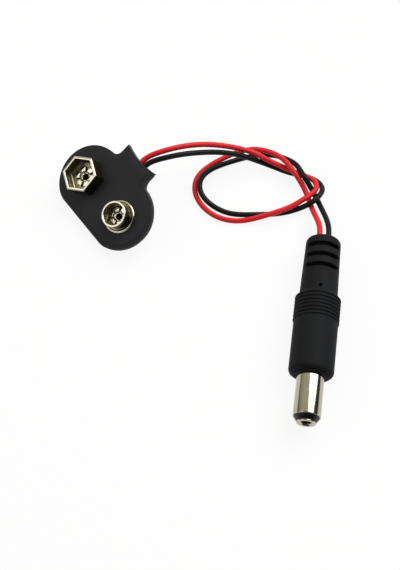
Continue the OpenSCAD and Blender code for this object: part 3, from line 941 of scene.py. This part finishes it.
@dataclass
class BarrelPlug:
    """The plug: a moulded grip with a ribbed collar and a tail, and a nickel barrel with a bored contact.

    Its own frame is x to the right, s back from the tip and z up, from the tip on the axis.
    """

    tip: tuple[float, float, float] = (47.7, -45.4, 4.75)
    barrel_r: float = 2.75
    sleeve_front: float = 1.3
    body_front: float = 9.7
    root_front: float = 9.8
    root_r: float = 3.0
    flange_r: float = 3.3
    flange_t: float = 0.8
    sleeve_back: float = 13.7
    sleeve_bore_r: float = 2.35
    sleeve_round: float = 0.14
    strap_w: float = 1.6
    insulator_back: float = 14.4
    pin_r: float = 0.7
    pin_back: float = 18.6
    joint_back: float = 20.4
    boss_r: float = 3.4
    boss_round: float = 0.15
    boss_root_round: float = 0.1
    grip_front: float = 10.1
    grip_r: float = 4.55
    grip_round: float = 1.0
    collar_front: float = 21.7
    collar_lead: float = 0.1
    collar_round: float = 0.1
    collar_r: float = 4.75
    rib_r: float = 0.25
    rib_count: int = 7
    tail_front: float = 27.1
    tail_root_r: float = 3.95
    tail_end_r: float = 3.65
    tail_end: float = 41.1
    tail_round: float = 0.8
    groove_count: int = 3
    groove_w: float = 1.0
    groove_pitch: float = 2.5
    groove_start: float = 2.0
    groove_core_r: float = 2.6
    groove_span: float = 6.6
    groove_soft: float = 0.06
    groove_walls: tuple[float, ...] = (-0.06, -0.02, 0.02, 0.1, 0.2)
    web_soft: float = 5.0
    gate_at: float = 28.6
    gate_r: float = 0.375
    gate_depth: float = 0.8
    gate_soft: float = 0.08
    gate_room: float = 0.5
    gate_sector: float = 9.0
    lip_r: float = 1.95
    lip_t: float = 0.3
    lip_round: float = 0.14
    flare_round: float = 0.1
    bore_round: float = 0.2
    contact_r: float = 1.45
    bore_r: float = 1.05
    bore_depth: float = 11.5
    nose_r: float = 2.65
    nose_round: float = 0.06
    nose_tip_round: float = 0.05
    core_pitch: float = 1.9

    def place(self, points: Array) -> Array:
        """Turns (x, s, z) points into points of the shared frame."""
        return np.array(self.tip) + points

    def turned(self, profile: Array, sides: int = 96) -> Array:
        """A profile of (radius, station) pairs turned about the plug's axis, in the shared frame."""
        return self.place(revolved(profile, sides)[..., (0, 2, 1)])

    def body_profile(self) -> Array:
        """Half section of the moulded body as (radius, station) pairs.

        It starts on the axis inside, follows the barrel's seat out to the boss, then the rounded grip, the
        ribs as half circles, a ramp, the tapered tail and its rounded end, and closes on the axis.

        Returns:
            Points of the section.
        """
        seat = [
            (0.0, self.pin_back),
            (self.pin_r, self.pin_back),
            (self.pin_r, self.insulator_back),
            (self.sleeve_bore_r, self.insulator_back),
            (self.sleeve_bore_r, self.sleeve_back),
            (self.flange_r, self.sleeve_back),
            (self.flange_r, self.sleeve_back - self.flange_t),
            (self.root_r, self.sleeve_back - self.flange_t),
            (self.root_r, self.root_front),
            (self.barrel_r, self.root_front),
            (self.barrel_r, self.body_front),
        ]
        core = self.collar_r - self.rib_r
        front = rounded(
            [
                (self.barrel_r, self.body_front, 0),
                (self.boss_r, self.body_front, self.boss_round),
                (self.boss_r, self.grip_front, self.boss_root_round),
                (self.grip_r, self.grip_front, self.grip_round),
                (self.grip_r, self.collar_front - self.collar_lead, self.collar_round),
                (core, self.collar_front, 0),
            ],
            steps=8,
        )
        rib_pitch = (self.tail_front - self.collar_front - 2 * self.rib_r) / (self.rib_count - 1)
        middle = self.collar_front + self.rib_r + rib_pitch * np.arange(self.rib_count)[:, None]
        angle = np.linspace(-math.pi / 2, math.pi / 2, 9)
        crest = core + self.rib_r * np.cos(angle) + 0 * middle
        ribs = np.stack([crest, middle + self.rib_r * np.sin(angle)], axis=-1)
        ramp = core - self.tail_root_r
        taper = (self.tail_end_r - self.tail_root_r) / (self.tail_end - self.tail_front - ramp)
        stations = self.tail_stations(self.tail_front + ramp, self.tail_end - self.tail_round)
        tail = np.column_stack([self.tail_root_r + taper * (stations - self.tail_front - ramp), stations])
        arc = np.linspace(0, math.pi / 2, 8)[1:]
        end_r = self.tail_end_r - self.tail_round
        end = np.column_stack(
            [end_r + self.tail_round * np.cos(arc), self.tail_end + self.tail_round * (np.sin(arc) - 1)]
        )
        return np.concatenate([seat, front, ribs.reshape(-1, 2), tail, end, [(0.0, self.tail_end)]])

    def groove_fronts(self) -> Array:
        """Stations at which the flex grooves start."""
        last = self.tail_end - self.groove_start - self.groove_w
        return last - self.groove_pitch * np.arange(self.groove_count)

    def tail_stations(self, start: float, end: float) -> Array:
        """Stations along the tail, close together at the gate mark and at the grooves' walls.

        Args:
            start: First station.
            end: Last station.

        Returns:
            The stations in order.
        """
        gate = self.gate_at + self.gate_room * np.linspace(-1, 1, 17)
        walls = np.array(self.groove_walls)
        fronts = self.groove_fronts()[:, None]
        grooves = np.concatenate([fronts + walls, fronts + self.groove_w - walls], axis=1).ravel()
        plain = np.linspace(start, end, 20)
        return np.unique(np.concatenate([plain, gate, grooves]))

    def moulding(self) -> bpy.types.Object:
        """Moulded body: its section turned about the axis, less the flex grooves and the gate mark.

        A groove lowers the radius to its core where the station lies inside it and the point is nearer the
        middle plane than the webs at both sides. The gate mark is a small round pit on top.

        Returns:
            The piece.
        """
        profile = self.body_profile()
        fine = np.radians(np.linspace(-self.gate_sector, self.gate_sector, 25))
        coarse = np.radians(np.linspace(self.gate_sector, 360 - self.gate_sector, 128))[1:-1]
        angle = np.concatenate([fine, coarse])
        radius, station = profile[:, :1], profile[:, 1:]
        inside = np.zeros_like(station)
        for start in self.groove_fronts():
            depth = np.minimum(station - start, start + self.groove_w - station)
            inside = np.maximum(inside, soft_step(depth, self.groove_soft))
        outer = radius > self.groove_core_r
        limit = np.arcsin(np.clip(self.groove_span / 2 / np.maximum(radius, self.pin_r), 0, 1))
        off = np.abs(np.arcsin(np.sin(angle)))
        open_side = soft_step(limit - off, math.radians(self.web_soft))
        cut = inside * open_side * outer * (station > self.tail_front)
        shaped = radius - cut * (radius - self.groove_core_r)
        around = (angle + math.pi) % (2 * math.pi) - math.pi
        off_gate = np.hypot(station - self.gate_at, shaped * around)
        pit = soft_step(self.gate_r - off_gate, self.gate_soft) * (station > self.tail_front)
        shaped = shaped - pit * self.gate_depth
        grid = np.stack([shaped * np.sin(angle), station + 0 * shaped, shaped * np.cos(angle)], axis=-1)
        skin = Skin()
        skin.grid(self.place(grid))
        return show(skin.mesh("plug_moulding", crease=50), PLUG_PVC, Slot.PLUG, "plug_body")

    def barrel(self) -> bpy.types.Object:
        """Nickel sleeve with its hidden root, flange and solder strap.

        Returns:
            The piece.
        """
        flange_front = self.sleeve_back - self.flange_t
        section = rounded(
            [
                (self.sleeve_bore_r, self.sleeve_front, 0),
                (self.barrel_r, self.sleeve_front, self.sleeve_round),
                (self.barrel_r, self.root_front, 0),
                (self.root_r, self.root_front, 0),
                (self.root_r, flange_front, 0),
                (self.flange_r, flange_front, 0),
                (self.flange_r, self.sleeve_back, 0),
                (self.sleeve_bore_r, self.sleeve_back, 0),
                (self.sleeve_bore_r, self.sleeve_front, 0),
            ]
        )
        half = self.strap_w / 2
        near, far = self.sleeve_bore_r, self.barrel_r
        ring = np.array([(near, 0, -half), (far, 0, -half), (far, 0, half), (near, 0, half)])
        ends = np.array([(0, self.sleeve_back, 0), (0, self.joint_back, 0)])
        strap = self.place(ring + ends[:, None])
        skin = Skin()
        skin.grid(self.turned(section, sides=128))
        skin.grid(strap)
        skin.patch(strap, np.array([(0, 1, 2, 3), (4, 5, 6, 7)]))
        return show(skin.mesh("plug_sleeve"), TURNED_NICKEL, Slot.NICKEL, "plug_barrel")

    def nose(self) -> bpy.types.Object:
        """Insulating sleeve with the cone that covers the barrel's front edge.

        Returns:
            The piece.
        """
        section = rounded(
            [
                (self.contact_r, self.lip_t, 0),
                (self.lip_r, self.lip_t, self.nose_tip_round),
                (self.nose_r, self.sleeve_front, self.nose_round),
                (self.sleeve_bore_r, self.sleeve_front, 0),
                (self.sleeve_bore_r, self.insulator_back, 0),
                (self.contact_r, self.insulator_back, 0),
                (self.contact_r, self.lip_t, 0),
            ]
        )
        skin = Skin()
        skin.grid(self.turned(section))
        return show(skin.mesh("plug_nose"), NYLON, Slot.NOSE, "plug_insulator")

    def centre_contact(self) -> bpy.types.Object:
        """Bored contact with a rounded lip, a flared mouth and a solder pin.

        Returns:
            The piece.
        """
        section = rounded(
            [
                (0, self.bore_depth, 0),
                (self.bore_r, self.bore_depth, 0),
                (self.bore_r, self.lip_t, self.bore_round),
                (self.bore_r + self.lip_t, 0, self.flare_round),
                (self.lip_r, 0, self.lip_round),
                (self.lip_r, self.lip_t, self.lip_round),
                (self.contact_r, self.lip_t, 0),
                (self.contact_r, self.insulator_back, 0),
                (self.pin_r, self.insulator_back, 0),
                (self.pin_r, self.pin_back, 0),
                (0, self.pin_back, 0),
            ]
        )
        skin = Skin()
        skin.grid(self.turned(section))
        return show(skin.mesh("plug_pin"), TURNED_NICKEL, Slot.NICKEL, "plug_contact")

    def build(self) -> list[bpy.types.Object]:
        """Builds the plug.

        Returns:
            Its pieces.
        """
        pieces = [self.moulding(), self.barrel(), self.nose(), self.centre_contact()]
        for node in ("contact_solder", "barrel_solder"):
            dress(node, SOLDER)
            pieces.append(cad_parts[node])
        return pieces


@dataclass
class Lead:
    """One insulated lead: a round tube on a smooth curve from the snap, through the knot, into the plug.

    Attributes:
        name: Name of the piece.
        node: CAD node that it stands for.
        side: -1 for the left lead in the plug, 1 for the right one.
        snap_u: Place of the lead across the snap's tab.
        joint_u: Place of its solder joint.
        route: Points of its free part.
        finish: Its insulation.
        slot: The record's slot of the insulation.
        diameter: Outer diameter.
        sides: Points on each ring.
    """

    name: str
    node: str
    side: int
    snap_u: float
    joint_u: float
    route: list[tuple[float, float, float]]
    finish: Finish
    slot: Slot
    diameter: float = 1.2
    sides: int = 16

    def path(self, snap: BatterySnap, plug: BarrelPlug) -> Array:
        """Points that the lead's middle passes through, from its solder joint to the one in the plug.

        Args:
            snap: The snap it leaves.
            plug: The plug on its far end.

        Returns:
            The points, in the shared frame.
        """
        channel_v = snap.tab_reach - snap.tab_dip - snap.rim_w - snap.cover_t
        inside = np.array(
            [
                (self.joint_u, snap.insulation_v, snap.lead_w),
                (self.joint_u, snap.insulation_v + self.diameter / 2, snap.lead_w),
                (self.snap_u, channel_v, snap.lead_w),
                (self.snap_u, snap.tab_reach, snap.lead_w),
            ]
        )
        off = self.side * plug.core_pitch / 2
        into = np.array([(off, plug.tail_end, 0), (off, plug.joint_back, 0)])
        return np.concatenate([snap.place(inside), np.array(self.route), plug.place(into)])

    @staticmethod
    def curve(points: Array, step: float = 0.4) -> Array:
        """A natural cubic spline over chord length, in even steps.

        Args:
            points: Points that the curve passes through.
            step: Distance between its points.

        Returns:
            Points of the curve.
        """
        chord = np.linalg.norm(np.diff(points, axis=0), axis=1)
        at = np.concatenate([[0], np.cumsum(chord)])
        count = len(points)
        system = np.eye(count)
        inner = np.arange(1, count - 1)
        system[inner, inner - 1] = chord[:-1]
        system[inner, inner] = 2 * (chord[:-1] + chord[1:])
        system[inner, inner + 1] = chord[1:]
        slope = np.diff(points, axis=0) / chord[:, None]
        right = np.zeros_like(points)
        right[1:-1] = 6 * np.diff(slope, axis=0)
        bend = np.linalg.solve(system, right)
        wanted = np.linspace(0, at[-1], int(at[-1] / step) + 1)
        span = np.clip(np.searchsorted(at, wanted, side="right") - 1, 0, count - 2)
        width = chord[span][:, None]
        after = (wanted - at[span])[:, None] / width
        before = 1 - after
        sag = (before**3 - before) * bend[span] + (after**3 - after) * bend[span + 1]
        return before * points[span] + after * points[span + 1] + sag * width**2 / 6

    def build(self, snap: BatterySnap, plug: BarrelPlug, hung: list[bpy.types.Object]) -> bpy.types.Object:
        """Args:
            snap: The snap it leaves.
            plug: The plug on its far end.
            hung: Pieces of the plug; not used.

        Returns:
            The piece.
        """
        line = self.curve(self.path(snap, plug))
        ahead = unit(np.gradient(line, axis=0))
        across = unit(np.cross(ahead, (0.0, 0.0, 1.0)))
        over = np.cross(across, ahead)
        angle = np.linspace(2 * math.pi, 0, self.sides, endpoint=False)[:, None]
        radius = self.diameter / 2
        rings = line[:, None] + radius * (np.cos(angle) * across[:, None] + np.sin(angle) * over[:, None])
        skin = Skin()
        skin.grid(rings)
        first = np.arange(self.sides)
        skin.faces.append(first[::-1].tolist())
        skin.faces.append((first + (len(line) - 1) * self.sides).tolist())
        mesh = skin.mesh(self.name, crease=60, weld=False)
        run = np.concatenate([[0], np.cumsum(np.linalg.norm(np.diff(line, axis=0), axis=1))])
        lay = np.empty((len(line), self.sides, 3))
        lay[..., 0] = run[:, None]
        lay[..., 1] = radius * np.cos(angle[:, 0])
        lay[..., 2] = radius * np.sin(angle[:, 0])
        mesh.attributes.new("lay", "FLOAT_VECTOR", "POINT").data.foreach_set("vector", (lay * MM).ravel())
        piece = show(mesh, self.finish, self.slot, self.node)
        (snap.place(np.array([self.snap_u, snap.tab_reach, snap.lead_w])) * MM).tolist()
        return piece


# Points of the leads' free parts, from the snap through the knot to the plug
RED_ROUTE = [
    (10.6, 9, 11.3), (14.2, 10.7, 11.4), (19.6, 13.5, 9.7), (24.1, 15.4, 7.4), (28, 16.5, 5.3),
    (30.9, 16.6, 4.1), (33.7, 16.1, 3), (36.3, 15.6, 2.2), (38.8, 14.8, 2), (41.7, 13.8, 2.1),
    (43.4, 13, 2.4), (44.5, 12.1, 2.7), (45, 11, 2.95), (45, 9.8, 3.15), (44.3, 8.5, 3.2),
    (42.8, 7, 3.1), (40.5, 5.2, 2.6), (37.5, 3.5, 2.2), (33.7, 1.9, 1.6), (28.6, 0.7, 0.7),
    (23.9, 1.3, 0.7), (20.4, 3.8, 0.7), (18.5, 7.2, 0.7), (18.6, 10.9, 0.7), (20.3, 13.7, 0.7),
    (23.8, 16.7, 1), (29.7, 19.3, 1.8), (33.4, 18.7, 2.6), (36.6, 16.9, 3.3), (39, 14.4, 3.5),
    (40.9, 12.3, 2.8), (42.7, 10.2, 1.5), (44.1, 7.3, 1), (45.4, 3.6, 2.3), (46.6, -0.8, 4.3),
]
BLACK_ROUTE = [
    (11.3, 7.7, 10.9), (14.8, 9.1, 11), (19.2, 11.5, 9.4), (23.6, 13.7, 7.2), (27.5, 15, 5.1),
    (31.2, 15.8, 2.7), (35.1, 15.9, 0.9), (38.7, 15, 0.7), (42.2, 14.5, 0.7), (45, 13.2, 1.2),
    (46.3, 11.2, 2), (46.1, 8.7, 3), (44.5, 6.4, 3), (41.8, 5.2, 1.6), (38.5, 4.2, 0.7),
    (35, 3.3, 0.7), (31.4, 2.7, 0.7), (27.2, 2.4, 0.7), (23.1, 3.7, 0.8), (20.3, 5.8, 1.6),
    (19.4, 8.5, 1.8), (20.2, 11.4, 1.6), (22.6, 14, 1.2), (26.6, 16.6, 0.8), (31.3, 18.6, 0.8),
    (35.1, 18.7, 1.3), (38.1, 17.3, 2.3), (40.3, 15, 3.6), (42, 12.6, 3.5), (44, 10.7, 1.8),
    (45.8, 7.9, 1.2), (47.4, 3.9, 2.5), (48.5, -0.6, 4.3),
]


@dataclass
class Softbox:
    """A square lamp that faces the object.

    Attributes:
        name: Name of the lamp.
        towards: Direction from the object to the lamp.
        size: Edge of its face in metres.
        radiance: Brightness of its face.
        distance: Distance from the object in metres.
    """

    name: str
    towards: tuple[float, float, float]
    size: float
    radiance: float
    distance: float = 0.7

    def build(self, target: Vector) -> None:
        """Adds the lamp; its power spreads the radiance over a half space.

        Args:
            target: Point that it faces, in metres.
        """
        towards = Vector(self.towards).normalized()
        lamp = bpy.data.lights.new(self.name, "AREA")
        lamp.shape = "SQUARE"
        lamp.size = self.size
        lamp.energy = self.radiance * math.pi * self.size**2
        stand = bpy.data.objects.new(self.name, lamp)
        stand.location = target + self.distance * towards
        stand.rotation_euler = (-towards).to_track_quat("-Z", "Y").to_euler()
        bpy.context.collection.objects.link(stand)


@dataclass
class Studio:
    """A white table, a key softbox above to the right, a weaker one at the left, and a dim room."""

    focal_px: float = 1014.0
    image_px: float = 570.0
    sensor: float = 36.0
    azimuth: float = 8.03
    elevation: float = 62.0
    distance: float = 215.18
    target: tuple[float, float, float] = (22.87, -15.78, 0.0)
    clip_start: float = 0.01
    floor_size: float = 6.0
    shadow_share: float = 0.1
    paper_white: str = "#f4f4f4"
    plain_white: str = "#ffffff"
    room_axis: tuple[float, float, float] = (-0.3, 0.75, 0.59)
    room_tones: tuple[tuple[float, str], ...] = (
        (0.2, "#3f3e3b"),
        (0.28, "#555350"),
        (0.55, "#5f5d57"),
        (0.66, "#aaa79c"),
        (0.86, "#cfcbbd"),
        (0.94, "#d4d0c2"),
    )
    key: Softbox = field(
        default_factory=lambda: Softbox("key_box", (0.40, 0.42, 0.81), size=0.6, radiance=4.2)
    )
    fill: Softbox = field(
        default_factory=lambda: Softbox("fill_box", (-0.72, -0.28, 0.64), size=0.5, radiance=1.3)
    )

    def camera(self) -> None:
        """Camera at the photograph's angle, aimed at the middle of the picture."""
        turn, rise = math.radians(self.azimuth), math.radians(self.elevation)
        back = Vector((math.sin(turn) * math.cos(rise), -math.cos(turn) * math.cos(rise), math.sin(rise)))
        lens = bpy.data.cameras.new("camera")
        lens.sensor_fit = "VERTICAL"
        lens.sensor_height = self.sensor
        lens.lens = self.focal_px / self.image_px * self.sensor
        lens.clip_start = self.clip_start
        seat = bpy.data.objects.new("camera", lens)
        seat.location = (Vector(self.target) + self.distance * back) * MM
        seat.rotation_euler = (-back).to_track_quat("-Z", "Y").to_euler()
        bpy.context.collection.objects.link(seat)
        bpy.context.scene.camera = seat

    def floor(self) -> None:
        """White table top that shows white to the eye and in reflections, and keeps a faint shadow."""
        corners = self.floor_size / 2 * np.array([(-1, -1, 0), (1, -1, 0), (1, 1, 0), (-1, 1, 0)])
        mesh = bpy.data.meshes.new("table_top")
        mesh.from_pydata(corners.tolist(), [], [(0, 1, 2, 3)])
        top = bpy.data.objects.new("table_top", mesh)
        bpy.context.collection.objects.link(top)
        made = bpy.data.materials.new("white_table")
        made.use_nodes = True
        tree = made.node_tree
        tree.nodes.clear()
        paper = add_node(tree, "ShaderNodeBsdfDiffuse", {"Color": linear(self.paper_white)}).outputs[0]
        white = {"Color": linear(self.plain_white), "Strength": 1.0}
        glow = add_node(tree, "ShaderNodeEmission", white).outputs[0]
        share = {"Fac": self.shadow_share}
        seen = add_node(tree, "ShaderNodeMixShader", share, {1: glow, 2: paper}).outputs[0]
        rays = add_node(tree, "ShaderNodeLightPath").outputs
        direct = rays["Is Camera Ray"]
        for kind in ("Is Glossy Ray", "Is Transmission Ray"):
            either = add_node(tree, "ShaderNodeMath", links={0: direct, 1: rays[kind]}, operation="MAXIMUM")
            direct = either.outputs[0]
        both = add_node(tree, "ShaderNodeMixShader", links={0: direct, 1: paper, 2: seen})
        add_node(tree, "ShaderNodeOutputMaterial", links={"Surface": both.outputs[0]})
        mesh.materials.append(made)

    def room(self) -> None:
        """Dim room, a little paler towards the wall behind the table at the left."""
        world = bpy.data.worlds.new("room")
        bpy.context.scene.world = world
        world.use_nodes = True
        tree = world.node_tree
        tree.nodes.clear()
        towards = add_node(tree, "ShaderNodeTexCoord").outputs["Generated"]
        facing = add_node(
            tree, "ShaderNodeVectorMath", {1: self.room_axis}, {0: towards}, operation="DOT_PRODUCT"
        )
        walls = add_node(tree, "ShaderNodeValToRGB", links={"Fac": facing.outputs["Value"]})
        set_stops(walls, self.room_tones)
        sky = add_node(tree, "ShaderNodeBackground", {"Strength": 1.0}, {"Color": walls.outputs["Color"]})
        add_node(tree, "ShaderNodeOutputWorld", links={"Surface": sky.outputs[0]})

    def build(self) -> None:
        """Sets up camera, table, lamps and room."""
        bpy.context.scene.view_settings.view_transform = "Standard"
        self.camera()
        self.floor()
        for lamp in (self.key, self.fill):
            lamp.build(Vector(self.target) * MM)
        self.room()


def main() -> None:
    """Builds the studio, the plug, the leads and the snap."""
    logging.basicConfig(level=logging.INFO, format="%(name)s %(message)s")
    Studio().build()
    snap = BatterySnap()
    plug = BarrelPlug()
    hung = plug.build()
    leads = [
        Lead(
            "red_insulation",
            "red_lead",
            side=-1,
            snap_u=0.025,
            joint_u=-0.775,
            route=RED_ROUTE,
            finish=RED_PVC,
            slot=Slot.RED,
        ),
        Lead(
            "black_insulation",
            "black_lead",
            side=1,
            snap_u=1.375,
            joint_u=2.175,
            route=BLACK_ROUTE,
            finish=BLACK_PVC,
            slot=Slot.BLACK,
        ),
    ]
    for lead in leads:
        lead.build(snap, plug, hung)
    snap.build()


if __name__ == "__main__":
    main()
